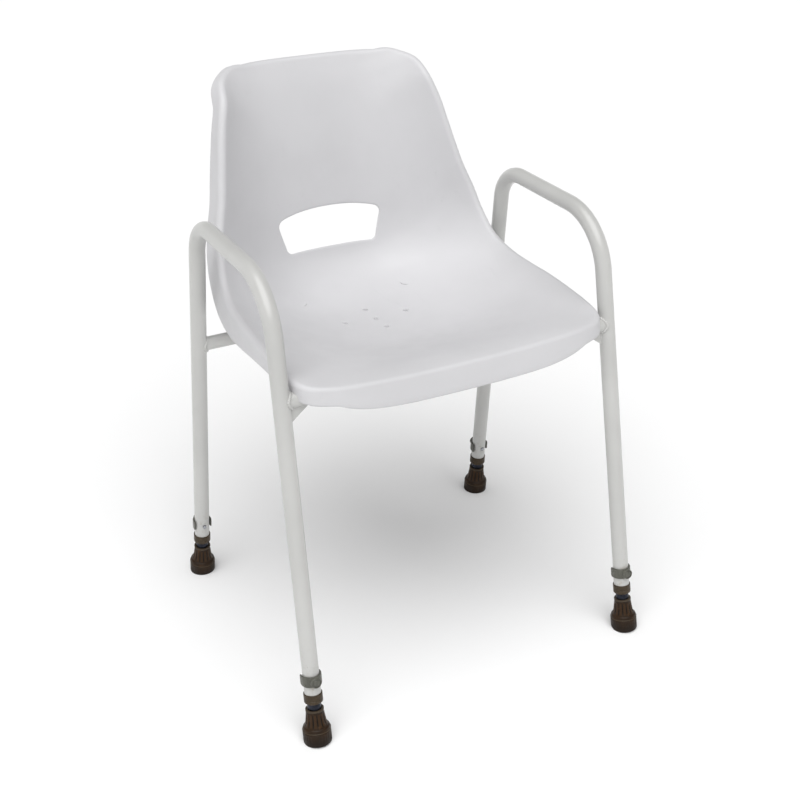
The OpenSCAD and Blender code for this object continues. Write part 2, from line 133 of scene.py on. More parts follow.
class ChairLegSettings(bpy.types.PropertyGroup):
    """Sizes of the pieces on each leg."""
    tube: length("Frame tube", "Outside radius of the side frame tube", 0.0115)
    tube_wall: length("Tube wall", "Wall of the side frame tube", 0.0019)
    front_bend: length("Front bend", "Centre line radius of the bend over the front leg", 0.090)
    rear_bend: length("Rear bend", "Centre line radius of the bend over the rear leg", 0.052)
    leg: length("Leg tube", "Outside radius of the telescopic tube", 0.0095)
    pin_height: length("Pin height", "Height of the locking pin along the leg", 0.094)
    pin: length("Pin", "Radius of the locking pin", 0.003)
    strap: length("Strap", "Thickness of the clip's strap", 0.0025)
    strap_height: length("Strap height", "Height of the clip's strap", 0.0155)
    strap_tail: length("Strap tail", "How far the strap runs past the tube's middle", 0.006)
    head: length("Clip head", "Radius of the clip's round head", 0.0075)
    head_out: length("Head depth", "How far the head stands off the strap", 0.004)
    collar: length("Collar", "Outside radius of the collar", 0.013)
    collar_top: length("Collar top", "Height of the collar's top edge along the leg", 0.073)
    collar_low: length("Collar foot", "Height of the collar's bottom edge along the leg", 0.058)
    tube_end: length("Tube end", "Height of the side frame tube's end along the leg", 0.061)
    ferrule_base: length("Ferrule base", "Radius of the ferrule's base", 0.0195)
    ferrule_mouth: length("Ferrule mouth", "Radius of the ferrule at its mouth", 0.0126)
    ferrule_top: length("Ferrule top", "Height of the ferrule's top edge along the leg", 0.049)
    shoulder: length("Ferrule shoulder", "Height of the ferrule's shoulder along the leg", 0.024)
    sole: length("Sole", "Thickness of rubber under the leg tube's disc", 0.005)
    flutes: IntProperty(
        name="Flutes", description="Number of flutes round the ferrule", default=14, min=6)
    flute_depth: length("Flute depth", "Depth of the flutes", 0.0013)


class ChairWeldSettings(bpy.types.PropertyGroup):
    """Sizes of the weld beads."""
    bead: length("Bead", "Radius of a weld bead", 0.0024)
    pitch: length("Ripple pitch", "Distance between ripples along a bead", 0.0026)
    ripple: FloatProperty(name="Ripple", description="Ripple height against the bead", default=0.13)
    gusset: length("Gusset", "Thickness of the gusset plates", 0.004)
    gusset_reach: length("Gusset reach", "Leg of each gusset along the rail", 0.024)


class ChairColourSettings(bpy.types.PropertyGroup):
    """Colours of the finishes."""
    seat: tint("Seat", "Moulded seat", (0.595, 0.592, 0.606))
    coating: tint("Coating", "Coated steel tube", (0.52, 0.52, 0.505))
    rubber: tint("Rubber", "Ferrules", (0.021, 0.0098, 0.003))
    bush: tint("Collars", "Collars at the tube ends", (0.044, 0.029, 0.014))
    clip: tint("Clips", "Locking clips", (0.085, 0.085, 0.070))
    # The leg tube's colour is painted dark: painted shade and a painted reflection of dark surroundings, not the
    # steel's own colour.
    tube: tint("Leg tube", "Telescopic leg tube", (0.035, 0.038, 0.050))
    pin: tint("Pins", "Locking pins", (0.36, 0.37, 0.39))
    zinc: tint("Zinc", "Screws, washers and discs", (0.48, 0.49, 0.50))


class ChairStageSettings(bpy.types.PropertyGroup):
    """Camera, floor and lights."""
    place: FloatVectorProperty(
        name="Camera", description="Place of the camera", unit="LENGTH",
        default=(-0.78436, -1.44379, 1.23798))
    turn: FloatProperty(name="Turn", description="Camera's azimuth", default=-28.874)
    tilt: FloatProperty(name="Tilt", description="Camera's elevation", default=29.003)
    roll: FloatProperty(name="Roll", description="Camera's roll", default=0.737)
    lens: FloatProperty(name="Lens", description="Focal length in millimetres", default=56.96)
    floor: tint("Floor", "Studio floor", (0.92, 0.92, 0.92))
    key: FloatProperty(name="Key", description="Strength of the broad key light", default=2.98)
    key_turn: FloatProperty(name="Key turn", description="Key light's azimuth", default=-36)
    key_tilt: FloatProperty(name="Key tilt", description="Key light's elevation", default=68)
    key_spread: FloatProperty(
        name="Key spread", description="Key light's angular width in degrees", default=64)
    sky: FloatProperty(
        name="Sky", description="Strength of the surrounding light overhead", default=0.17)
    horizon: FloatProperty(
        name="Horizon", description="Strength of the light near the horizon", default=0.92)


class ChairSettings(bpy.types.PropertyGroup):
    """All settings of the chair."""
    seat: PointerProperty(type=ChairSeatSettings)
    leg: PointerProperty(type=ChairLegSettings)
    weld: PointerProperty(type=ChairWeldSettings)
    colour: PointerProperty(type=ChairColourSettings)
    stage: PointerProperty(type=ChairStageSettings)


# ---- Mesh helpers ----

def stitch(faces, chains, closed):
    """Adds quads between neighbouring chains of point numbers."""
    last = len(chains) if closed else len(chains) - 1
    for i in range(last):
        one, two = chains[i], chains[(i + 1) % len(chains)]
        for a, b, c, d in zip(one, two, two[1:], one[1:]):
            corners = tuple(dict.fromkeys((a, b, c, d)))
            if len(corners) > 2:
                faces.append(corners)


SMOOTH_ANGLE = 38   # degrees; a sharper edge than this stays crisp


def solid_mesh(name, points, faces):
    """Mesh of a closed solid with its faces turned outwards."""
    mesh = bpy.data.meshes.new(name)
    mesh.from_pydata(points, [], faces)
    work = bmesh.new()
    work.from_mesh(mesh)
    bmesh.ops.recalc_face_normals(work, faces=work.faces)
    work.to_mesh(mesh)
    work.free()
    return mesh


def smooth_shading(mesh):
    mesh.polygons.foreach_set("use_smooth", [True] * len(mesh.polygons))
    mesh.set_sharp_from_angle(angle=math.radians(SMOOTH_ANGLE))


def loose_object(name, mesh):
    made = bpy.data.objects.new(name, mesh)
    bpy.context.scene.collection.objects.link(made)
    return made


def combine(piece, tool, operation):
    """Joins or cuts a piece with a tool solid, and removes the tool."""
    step = piece.modifiers.new(operation.title(), "BOOLEAN")
    step.operation = operation
    step.solver = "EXACT"
    step.object = tool
    graph = bpy.context.evaluated_depsgraph_get()
    result = bpy.data.meshes.new_from_object(piece.evaluated_get(graph))
    piece.modifiers.clear()
    old, tool_mesh = piece.data, tool.data
    piece.data = result
    bpy.data.objects.remove(tool)
    bpy.data.meshes.remove(old)
    bpy.data.meshes.remove(tool_mesh)
    if len(piece.data.polygons) == 0:
        raise RuntimeError(f"{piece.name} was lost when it was combined with a tool")


def gather(parts):
    """Puts separate solids into the first one's mesh."""
    work = bmesh.new()
    for part in parts:
        work.from_mesh(part.data)
    work.to_mesh(parts[0].data)
    work.free()
    for part in parts[1:]:
        bpy.data.objects.remove(part)
    return parts[0]


def settle(piece, body, finish, replaces=()):
    """Gives a finished piece its shading, material and body, and hides the CAD nodes it replaces."""
    smooth_shading(piece.data)
    piece.data.materials.clear()
    piece.data.materials.append(finish)
    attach(piece, body)
    if replaces:
        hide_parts(*replaces)
    return piece


def finish_nodes(finish, *names):
    """Gives CAD nodes a material."""
    for name in names:
        node = frame["nodes"][name]
        if not node.material_slots:
            node.data.materials.append(finish)
        for holder in node.material_slots:
            holder.material = finish


def soften_edges(name, width, angle=35):
    """Rounds the edges of a CAD node with a bevel."""
    bevel = frame["nodes"][name].modifiers.new("Soft edges", "BEVEL")
    bevel.width = width
    bevel.segments = 3
    bevel.limit_method = "ANGLE"
    bevel.angle_limit = math.radians(angle)


def arc(centre, radius, start, end, count):
    """Points of an arc in a turned outline, as (radius, height), angles in degrees."""
    turns = [math.radians(start + (end - start) * i / count) for i in range(count + 1)]
    return [(centre[0] + radius * math.cos(a), centre[1] + radius * math.sin(a)) for a in turns]


def lathe(outline, sides, shaper=None):
    """Points and faces of an outline turned about Z. It is a loop, or starts and ends on the axis."""
    points, chains = [], []
    on_axis = outline[0][0] == 0
    poles = [(0, 0, outline[0][1]), (0, 0, outline[-1][1])]
    if on_axis:
        points += poles
    for side in range(sides):
        angle = 2 * math.pi * side / sides
        chain = []
        for radius, height in outline[1:-1] if on_axis else outline:
            r = shaper(radius, height, angle) if shaper else radius
            chain.append(len(points))
            points.append((r * math.cos(angle), r * math.sin(angle), height))
        chains.append([0] + chain + [1] if on_axis else chain + chain[:1])
    faces = []
    stitch(faces, chains, True)
    return points, faces


def sweep(rings, closed=False):
    """Points and faces through rings of points. Open sweeps get flat ends."""
    points = [p for ring in rings for p in ring]
    size = len(rings[0])
    chains = [[i * size + k for k in range(size)] + [i * size] for i in range(len(rings))]
    faces = []
    stitch(faces, chains, closed)
    if not closed:
        faces += [tuple(chains[0][:-1]), tuple(reversed(chains[-1][:-1]))]
    return points, faces


def moved(points, matrix):
    return [matrix @ Vector(p) for p in points]


def leg_matrix(leg):
    """From a leg's own axes, +Z up the leg and -Y on its outer side, to the chair's."""
    up = -Vector(JOINTS[leg + "_leg_slide"]["axis"]).normalized()
    outer = Vector(JOINTS[leg + "_lock_pull"]["axis"]).normalized()
    back = -(outer - outer.project(up)).normalized()
    matrix = Matrix((back.cross(up), back, up)).transposed().to_4x4()
    matrix.translation = FEET[leg]
    return matrix


# ---- Materials ----

def set_range(node, low, high, to_low, to_high):
    """Sets the limits of a Map Range node."""
    for socket, number in zip(("From Min", "From Max", "To Min", "To Max"), (low, high, to_low, to_high)):
        node.inputs[socket].default_value = number


class Finish:
    """A node material built round one shader, in the object's own coordinates."""

    def __init__(self, name, roughness, metallic=0.0, specular=0.5, coat=0.0, coat_roughness=0.1):
        self.material = bpy.data.materials.new(name)
        self.material.use_nodes = True
        self.tree = self.material.node_tree
        self.shader = self.tree.nodes["Principled BSDF"]
        self.set("Roughness", roughness)
        self.set("Metallic", metallic)
        self.set("Specular IOR Level", specular)
        self.set("Coat Weight", coat)
        self.set("Coat Roughness", coat_roughness)
        self.place = self.tree.nodes.new("ShaderNodeTexCoord").outputs["Object"]

    def set(self, socket, value):
        self.shader.inputs[socket].default_value = value

    def node(self, kind, **values):
        made = self.tree.nodes.new(kind)
        for name, value in values.items():
            setattr(made, name, value)
        return made

    def join(self, output, socket):
        self.tree.links.new(output, socket)

    def stretched(self, scale):
        """Object coordinates scaled along each axis."""
        mapping = self.node("ShaderNodeMapping")
        mapping.inputs["Scale"].default_value = scale
        self.join(self.place, mapping.inputs["Vector"])
        return mapping.outputs["Vector"]

    def noise(self, scale, detail=3.0, roughness=0.5, place=None):
        made = self.node("ShaderNodeTexNoise")
        made.inputs["Scale"].default_value = scale
        made.inputs["Detail"].default_value = detail
        made.inputs["Roughness"].default_value = roughness
        self.join(place or self.place, made.inputs["Vector"])
        return made.outputs["Fac"]

    def cells(self, scale, feature="F1"):
        made = self.node("ShaderNodeTexVoronoi", feature=feature)
        made.inputs["Scale"].default_value = scale
        self.join(self.place, made.inputs["Vector"])
        return made.outputs["Distance"]

    def between(self, value, low, high, to_low=0.0, to_high=1.0):
        """Spreads a value between two limits, smoothly."""
        made = self.node("ShaderNodeMapRange", interpolation_type="SMOOTHSTEP")
        self.join(value, made.inputs["Value"])
        set_range(made, low, high, to_low, to_high)
        return made.outputs["Result"]

    def product(self, one, two):
        made = self.node("ShaderNodeMath", operation="MULTIPLY")
        self.join(one, made.inputs[0])
        self.join(two, made.inputs[1])
        return made.outputs[0]

    def height(self):
        """Height above the floor in the chair's own coordinates."""
        made = self.node("ShaderNodeSeparateXYZ")
        self.join(self.place, made.inputs[0])
        return made.outputs["Z"]

    def ribs(self, count):
        """1 at each of a number of places round the upright axis, -1 between them."""
        turn = self.node("ShaderNodeTexGradient", gradient_type="RADIAL")
        self.join(self.place, turn.inputs["Vector"])
        angle = self.node("ShaderNodeMath", operation="MULTIPLY")
        self.join(turn.outputs["Fac"], angle.inputs[0])
        angle.inputs[1].default_value = 2 * math.pi * count
        wave = self.node("ShaderNodeMath", operation="COSINE")
        self.join(angle.outputs[0], wave.inputs[0])
        return wave.outputs[0]

    def blend(self, share, one, two):
        """Colour between two, each a colour or an output."""
        made = self.node("ShaderNodeMix", data_type="RGBA")
        self.join(share, made.inputs["Factor"])
        for socket, colour in ((made.inputs[6], one), (made.inputs[7], two)):
            if isinstance(colour, bpy.types.NodeSocket):
                self.join(colour, socket)
            else:
                socket.default_value = (*colour, 1)
        return made.outputs[2]

    def colour(self, output):
        self.join(output, self.shader.inputs["Base Color"])

    def rough(self, output):
        self.join(output, self.shader.inputs["Roughness"])

    def bump(self, *layers):
        """Adds bumps, each (value, depth in metres, strength)."""
        normal = None
        for value, depth, strength in layers:
            made = self.node("ShaderNodeBump")
            made.inputs["Distance"].default_value = depth
            made.inputs["Strength"].default_value = strength
            self.join(value, made.inputs["Height"])
            if normal:
                self.join(normal, made.inputs["Normal"])
            normal = made.outputs["Normal"]
        self.join(normal, self.shader.inputs["Normal"])


GRIME = (0.36, 0.33, 0.28)           # dirt low on the coated legs
BARE_STEEL = (0.12, 0.12, 0.13)      # steel where the coating is chipped
BEAD_HIGHLIGHT = (0.060, 0.042, 0.024)    # painted highlight on the bead round a ferrule's base
LIP_HIGHLIGHT = (0.055, 0.040, 0.026)     # painted highlight on a ferrule's top lip


def shade_of(colour, share):
    """The colour made lighter or darker."""
    return tuple(min(1.0, c * share) for c in colour)


@functools.lru_cache(None)
def seat_plastic():
    """Matt moulded plastic: fine grain, slow cloudiness, faint scuffs and small specks."""
    colour = tuple(settings().colour.seat)
    made = Finish("seat_plastic", roughness=0.5, specular=0.45)
    cloud = made.between(made.noise(6, 4), 0.3, 0.7)
    base = made.blend(cloud, shade_of(colour, 0.965), shade_of(colour, 1.02))
    scuff_lines = made.noise(90, 5, 0.7, made.stretched((1.0, 0.16, 0.5)))
    scuffs = made.product(
        made.between(scuff_lines, 0.55, 0.9), made.between(made.noise(11, 2), 0.4, 0.8))
    worn = made.blend(scuffs, base, shade_of(colour, 0.84))
    specks = made.product(
        made.between(made.cells(260), 0.10, 0.05), made.between(made.noise(35, 2), 0.55, 0.7))
    made.colour(made.blend(specks, worn, shade_of(colour, 0.85)))
    made.rough(made.between(made.noise(28, 5), 0.25, 0.75, 0.42, 0.58))
    made.bump(
        (made.noise(1500, 2), 0.0002, 0.22),
        (made.cells(900), 0.0001, 0.10),
        (made.noise(18, 3), 0.0012, 0.06),
    )
    return made.material


@functools.lru_cache(None)
def coated_steel():
    """Glossy baked coating: orange peel, slow shade changes, and chips and grime low on the legs."""
    colour = tuple(settings().colour.coating)
    made = Finish("coated_steel", roughness=0.34, specular=0.5, coat=0.35, coat_roughness=0.16)
    cloud = made.between(made.noise(9, 3), 0.3, 0.7)
    base = made.blend(cloud, shade_of(colour, 0.95), shade_of(colour, 1.03))
    low = made.between(made.height(), 0.17, 0.06)
    grime = made.product(low, made.between(made.noise(120, 5, 0.65), 0.5, 0.78))
    dusty = made.blend(grime, base, GRIME)
    chips = made.product(low, made.between(made.noise(420, 3, 0.6), 0.70, 0.73))
    made.colour(made.blend(chips, dusty, BARE_STEEL))
    made.rough(made.between(made.noise(60, 4), 0.2, 0.8, 0.29, 0.40))
    made.bump(
        (made.noise(420, 1), 0.0003, 0.12),
        (made.noise(70, 2), 0.0006, 0.07),
    )
    return made.material


@functools.lru_cache(None)
def leg_steel():
    """Drawn steel tube coloured dark as painted shade and a painted reflection of dark surroundings, with
    lengthwise draw marks and dull patches.
    """
    colour = tuple(settings().colour.tube)
    made = Finish("leg_steel", roughness=0.34, metallic=1.0)
    draw = made.noise(900, 3, 0.6, made.stretched((1.0, 1.0, 0.035)))
    dull = made.between(made.noise(45, 5, 0.6), 0.42, 0.7)
    # The dark base colour is painted shade and a painted reflection of dark surroundings.
    base = made.blend(made.between(draw, 0.3, 0.7), shade_of(colour, 0.8), shade_of(colour, 1.25))
    made.colour(made.blend(dull, base, shade_of(colour, 0.62)))
    made.rough(made.between(made.noise(70, 4), 0.3, 0.7, 0.26, 0.48))
    made.bump((draw, 0.0001, 0.3))
    return made.material


@functools.lru_cache(None)
def brown_rubber():
    """Moulded rubber, darker towards the sole, with painted light on the fluted band, painted shade in the flutes,
    painted highlights on the base's bead and top lip, a dusty bloom and fine pitting.
    """
    colour = tuple(settings().colour.rubber)
    made = Finish("brown_rubber", roughness=0.42, specular=0.2)
    cloud = made.between(made.noise(55, 4), 0.3, 0.7)
    base = made.blend(cloud, shade_of(colour, 0.75), shade_of(colour, 1.35))
    # Painted light and shade on the flutes: the fluted band is made lighter and the flute hollows darker.
    body = made.product(
        made.between(made.height(), 0.0240, 0.0265), made.between(made.height(), 0.0440, 0.0425))
    grooves = made.product(made.between(made.ribs(settings().leg.flutes), 0.1, 0.9), body)
    base = made.blend(grooves, made.blend(body, base, shade_of(colour, 1.7)), shade_of(colour, 0.3))
    # Painted highlights: the bead round the base and the top lip are made lighter.
    ring = made.product(
        made.between(made.height(), 0.0172, 0.0178), made.between(made.height(), 0.0190, 0.0184))
    lip = made.between(made.height(), 0.0462, 0.0470)
    base = made.blend(ring, base, BEAD_HIGHLIGHT)
    base = made.blend(lip, base, LIP_HIGHLIGHT)
    sole = made.blend(made.between(made.height(), 0.02, 0.0), base, shade_of(colour, 0.5))
    bloom = made.product(
        made.between(made.noise(160, 5, 0.65), 0.56, 0.8), made.between(made.height(), 0.0, 0.03))
    made.colour(made.blend(bloom, sole, shade_of(colour, 3.2)))
    made.rough(made.between(made.noise(90, 4), 0.3, 0.7, 0.32, 0.56))
    made.bump((made.noise(1100, 3), 0.0002, 0.25), (made.noise(160, 2), 0.0004, 0.15))
    return made.material


@functools.lru_cache(None)
def brown_plastic():
    """Satin bush plastic with turning marks and a rubbed, paler band."""
    colour = tuple(settings().colour.bush)
    made = Finish("brown_plastic", roughness=0.38, specular=0.3)
    cloud = made.between(made.noise(80, 4), 0.3, 0.7)
    base = made.blend(cloud, shade_of(colour, 0.8), shade_of(colour, 1.2))
    rubs = made.between(made.noise(500, 3, 0.6, made.stretched((0.3, 0.3, 1.0))), 0.6, 0.8)
    made.colour(made.blend(rubs, base, shade_of(colour, 2.0)))
    made.rough(made.between(made.noise(120, 4), 0.3, 0.7, 0.3, 0.5))
    made.bump((made.noise(900, 2), 0.0002, 0.2))
    return made.material


@functools.lru_cache(None)
def clip_plastic():
    """Grey-green clip plastic with flow marks and rubbed edges."""
    colour = tuple(settings().colour.clip)
    made = Finish("clip_plastic", roughness=0.33, specular=0.4, coat=0.1, coat_roughness=0.2)
    flow = made.between(made.noise(140, 4, 0.6, made.stretched((1.0, 1.0, 0.4))), 0.3, 0.7)
    base = made.blend(flow, shade_of(colour, 0.82), shade_of(colour, 1.25))
    rubs = made.between(made.noise(380, 3, 0.6), 0.62, 0.76)
    made.colour(made.blend(rubs, base, shade_of(colour, 1.6)))
    made.rough(made.between(made.noise(110, 4), 0.3, 0.7, 0.25, 0.45))
    made.bump((made.noise(800, 2), 0.0002, 0.2))
    return made.material


@functools.lru_cache(None)
def pin_steel():
    """Polished pin with fine scratches."""
    colour = tuple(settings().colour.pin)
    made = Finish("pin_steel", roughness=0.18, metallic=1.0)
    scratches = made.noise(1400, 3, 0.7, made.stretched((1.0, 0.15, 1.0)))
    shine = made.between(scratches, 0.35, 0.65)
    made.colour(made.blend(shine, shade_of(colour, 0.85), shade_of(colour, 1.15)))
    made.rough(made.between(scratches, 0.3, 0.7, 0.12, 0.3))
    made.bump((scratches, 0.0001, 0.12))
    return made.material


@functools.lru_cache(None)
def zinc_steel():
    """Zinc plate with crystal patches and dull spots."""
    colour = tuple(settings().colour.zinc)
    made = Finish("zinc_steel", roughness=0.36, metallic=1.0)
    crystal = made.between(made.cells(340), 0.2, 0.7)
    base = made.blend(crystal, shade_of(colour, 0.85), shade_of(colour, 1.15))
    spots = made.between(made.noise(260, 4), 0.62, 0.75)
    made.colour(made.blend(spots, base, shade_of(colour, 0.5)))
    made.rough(made.between(crystal, 0.0, 1.0, 0.28, 0.46))
    made.bump((made.noise(700, 3), 0.0001, 0.2))
    return made.material


@functools.lru_cache(None)
def studio_floor():
    """Pale seamless studio floor with the faintest mottle."""
    colour = tuple(settings().stage.floor)
    made = Finish("studio_floor", roughness=0.85, specular=0.2)
    mottle = made.between(made.noise(3, 3), 0.2, 0.8)
    made.colour(made.blend(mottle, shade_of(colour, 0.995), colour))
    made.bump((made.noise(240, 3), 0.0002, 0.05))
    return made.material


def settings():
    return bpy.context.scene.shower_chair


# ---- Seat ----

NORMAL_STEP = 0.006   # share of the seat over which its slope is taken
HALVINGS = 40         # halvings of a search, well below any size here
LIP_POWER = 6         # how square the front lip's lower edge is
CROWN_POWER = 2.2     # how square the slot's top edge is


def catmull_rom(values, t):
    a, b, c, d = values
    square, cube = 2 * a - 5 * b + 4 * c - d, 3 * b - a - 3 * c + d
    return 0.5 * (2 * b + (c - a) * t + square * t * t + cube * t ** 3)


@functools.lru_cache(None)
def seat_row(u):
    """Smooth row of the seat at u, 0 at the front edge and 1 at the top edge."""
    last = len(SEAT_ROWS) - 1
    place = u * last
    i = min(last - 1, int(place))
    near = [SEAT_ROWS[max(0, min(last, i + k))] for k in (-1, 0, 1, 2)]
    return tuple(catmull_rom(values, place - i) for values in zip(*near))


def seat_point(u, t):
    """Point of the seat's upper surface, with t from -1 at the left rim to 1 at the right."""
    half, rim_y, rim_z, middle_y, middle_z, power = seat_row(u)[:6]
    k = abs(t) ** power
    y = middle_y + (rim_y - middle_y) * k
    z = middle_z + (rim_z - middle_z) * k
    return Vector((half * t * MM, y * MM + FOOTPRINT_MIDDLE, z * MM))


def seat_normal(u, t):
    step = NORMAL_STEP
    along = seat_point(min(1, u + step), t) - seat_point(max(0, u - step), t)
    across = seat_point(u, min(1, t + step)) - seat_point(u, max(-1, t - step))
    return across.cross(along).normalized()


def seat_place(x, wanted, axis, low, high):
    """The (u, t) whose point has this x, and this y or z as the axis says."""
    for _ in range(HALVINGS):
        u = (low + high) / 2
        t = max(-1, min(1, x / (seat_row(u)[0] * MM)))
        if seat_point(u, t)[axis] < wanted:
            low = u
        else:
            high = u
    return u, t


def slot_spine(seat):
    """Centres of the hand slot's corner rounds, along its top and back along its bottom."""
    top = seat.slot_width / 2 - seat.slot_corner
    rise = seat.slot_height / 2 - seat.slot_corner
    steps = 12
    shares = [1 - 2 * i / steps for i in range(steps + 1)]
    crown = [(top * s, rise - seat.slot_crown * abs(s) ** CROWN_POWER) for s in shares]
    return crown + [(-top * seat.slot_taper, -rise), (top * seat.slot_taper, -rise)]


def outside_distance(point, spine):
    """Distance of a point from a convex outline, 0 inside, and the direction away from it."""
    best, away, inside = 1e9, (1, 0), True
    for (ax, az), (bx, bz) in zip(spine, spine[1:] + spine[:1]):
        ex, ez = bx - ax, bz - az
        px, pz = point[0] - ax, point[1] - az
        if ex * pz - ez * px < 0:
            inside = False
        share = max(0, min(1, (px * ex + pz * ez) / (ex * ex + ez * ez)))
        dx, dz = px - share * ex, pz - share * ez
        gap = math.hypot(dx, dz)
        if 1e-9 < gap < best:
            best, away = gap, (dx / gap, dz / gap)
    return (0, away) if inside else (best, away)


def slot_edge(seat, spine, direction, distance):
    """Point on the ray from the slot's middle that lies this far from its spine, and the way out there."""
    low, high = 0, seat.slot_width
    for _ in range(HALVINGS):
        reach = (low + high) / 2
        point = (direction[0] * reach, direction[1] * reach)
        if outside_distance(point, spine)[0] < distance:
            low = reach
        else:
            high = reach
    return point, outside_distance(point, spine)[1]


def slot_chains(seat, points, window, top, under):
    """Chains of point numbers that run from the sheet, round the slot's edge, to the underside."""
    spine = slot_spine(seat)
    nose = seat.wall / 2
    rings, nose_steps = 8, 6
    chains = []
    for i, j in window:
        u, t = i / (seat.steps_long * (len(SEAT_ROWS) - 1)), j / seat.steps_wide - 1
        edge = seat_point(u, t)
        direction = Vector((edge.x, edge.z - seat.slot_centre)).normalized()
        (x, z), away = slot_edge(seat, spine, direction, seat.slot_corner + nose)
        end = seat_place(x, z + seat.slot_centre, 2, 0.5, 0.8)
        outer, inner = [top[i, j]], [under[i, j]]
        for ring in range(1, rings + 1):
            share = (ring / rings) ** 0.8
            place = (u + (end[0] - u) * share, t + (end[1] - t) * share)
            point, normal = seat_point(*place), seat_normal(*place)
            outer.append(len(points))
            points.append(point)
            inner.append(len(points))
            points.append(point - seat.wall * normal)
        depth = -(normal.x * away[0] + normal.z * away[1]) / normal.y
        inward = -Vector((away[0], depth, away[1])).normalized()
        for step in range(1, nose_steps):
            angle = math.pi * step / nose_steps
            outer.append(len(points))
            way = math.cos(angle) * normal + math.sin(angle) * inward
            points.append(point - nose * normal + nose * way)
        chains.append(outer + inner[::-1])
    return chains


def rim_directions(places):
    """Outward directions round the seat's edge, smoothed over neighbours."""
    count = len(places)
    spots = [seat_point(*p) for p in places]
    normals = [seat_normal(*p) for p in places]
    runs = [spots[(m + 1) % count] - spots[m - 1] for m in range(count)]
    out = [run.cross(normal).normalized() for run, normal in zip(runs, normals)]
    for _ in range(3):
        out = [sum((out[(m + k) % count] for k in range(-4, 5)), Vector()) for m in range(count)]
        out = [(o - o.dot(n) * n).normalized() for o, n in zip(out, normals)]
    return spots, normals, out


def rim_chains(seat, points, edge, top, under):
    """Chains of point numbers from the sheet, round the rim and down the skirt, to the underside."""
    long_count = seat.steps_long * (len(SEAT_ROWS) - 1)
    places = [(i / long_count, j / seat.steps_wide - 1) for i, j in edge]
    spots, normals, directions = rim_directions(places)
    roll_steps, skirt_steps, nose_steps = 8, 5, 5
    nose = seat.wall / 2
    chains = []
    for (i, j), (u, t), spot, normal, out in zip(edge, places, spots, normals, directions):
        row = seat_row(u)
        angle = math.radians(row[7])
        fall = Vector((0, math.sin(angle), -math.cos(angle)))
        full = math.acos(max(-1, min(1, out.dot(fall))))
        lip = FRONT_LIP * (1 - abs(t) ** LIP_POWER) if u == 0 else 0
        skirt = (row[6] + lip) * MM - nose
        down = math.cos(full) * out - math.sin(full) * normal
        face = math.sin(full) * out + math.cos(full) * normal
        centre = spot - seat.rim * normal
        outer, inner = [top[i, j]], [under[i, j]]

        def add(chain, point):
            chain.append(len(points))
            points.append(point)

        for step in range(1, roll_steps + 1):
            turn = full * step / roll_steps
            way = math.sin(turn) * out + math.cos(turn) * normal
            add(outer, centre + seat.rim * way)
            add(inner, centre + (seat.rim - seat.wall) * way)
        for step in range(1, skirt_steps + 1):
            run = skirt * step / skirt_steps * down
            add(outer, centre + seat.rim * face + run)
            add(inner, centre + (seat.rim - seat.wall) * face + run)
        tip = centre + (seat.rim - nose) * face + skirt * down
        for step in range(1, nose_steps):
            bend = math.pi * step / nose_steps
            add(outer, tip + nose * (math.cos(bend) * face + math.sin(bend) * down))
        chains.append(outer + inner[::-1])
    return chains


def loop_round(i_low, i_high, j_low, j_high):
    """Grid places round a rectangle of the grid, in order."""
    return (
        [(i_low, j) for j in range(j_low, j_high)]
        + [(i, j_high) for i in range(i_low, i_high)]
        + [(i_high, j) for j in range(j_high, j_low, -1)]
        + [(i, j_low) for i in range(i_high, i_low, -1)]
    )


def seat_moulding(seat):
    """Mesh of the seat's sheet with its rolled rim, skirt and hand slot."""
    long_count = seat.steps_long * (len(SEAT_ROWS) - 1)
    wide_count = 2 * seat.steps_wide
    i_low, i_high = (row * seat.steps_long for row in SLOT_ROWS)
    j_low = round(seat.steps_wide * (1 - SLOT_SIDE))
    j_high = wide_count - j_low
    points, faces, top, under = [], [], {}, {}
    for i in range(long_count + 1):
        for j in range(wide_count + 1):
            if i_low < i < i_high and j_low < j < j_high:
                continue
            u, t = i / long_count, j / seat.steps_wide - 1
            point = seat_point(u, t)
            top[i, j] = len(points)
            points.append(point)
            under[i, j] = len(points)
            points.append(point - seat.wall * seat_normal(u, t))
    for i in range(long_count):
        for j in range(wide_count):
            if i_low <= i < i_high and j_low <= j < j_high:
                continue
            corners = ((i, j), (i, j + 1), (i + 1, j + 1), (i + 1, j))
            faces.append(tuple(top[c] for c in corners))
            faces.append(tuple(under[c] for c in reversed(corners)))
    window = loop_round(i_low, i_high, j_low, j_high)
    stitch(faces, slot_chains(seat, points, window, top, under), True)
    edge = loop_round(0, long_count, 0, wide_count)
    stitch(faces, rim_chains(seat, points, edge, top, under), True)
    return solid_mesh("seat", points, faces)


def rail_line(name):
    """Centre (y, z) and radius of a cross rail."""
    low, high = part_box(name)
    return (low.y + high.y) / 2, (low.z + high.z) / 2, (high.y - low.y) / 2


def surface_height(x, y):
    """Height of the seat's upper surface over a place of the sitting part."""
    return seat_point(*seat_place(x, y, 1, 0, 0.6)).z


def rib_solid(start, end, start_low, end_low, half):
    """Plate under the seat from a boss's middle to its end, with a sloping lower edge."""
    side = Vector((end.y - start.y, start.x - end.x, 0)).normalized() * half
    corners = [start, end, Vector((end.x, end.y, end_low)), Vector((start.x, start.y, start_low))]
    points = [c + s for s in (side, -side) for c in corners]
    faces = [(0, 1, 2, 3), (7, 6, 5, 4)] + [(k, (k + 1) % 4, (k + 1) % 4 + 4, k + 4) for k in range(4)]
    return solid_mesh("rib", points, [f[::-1] for f in faces])


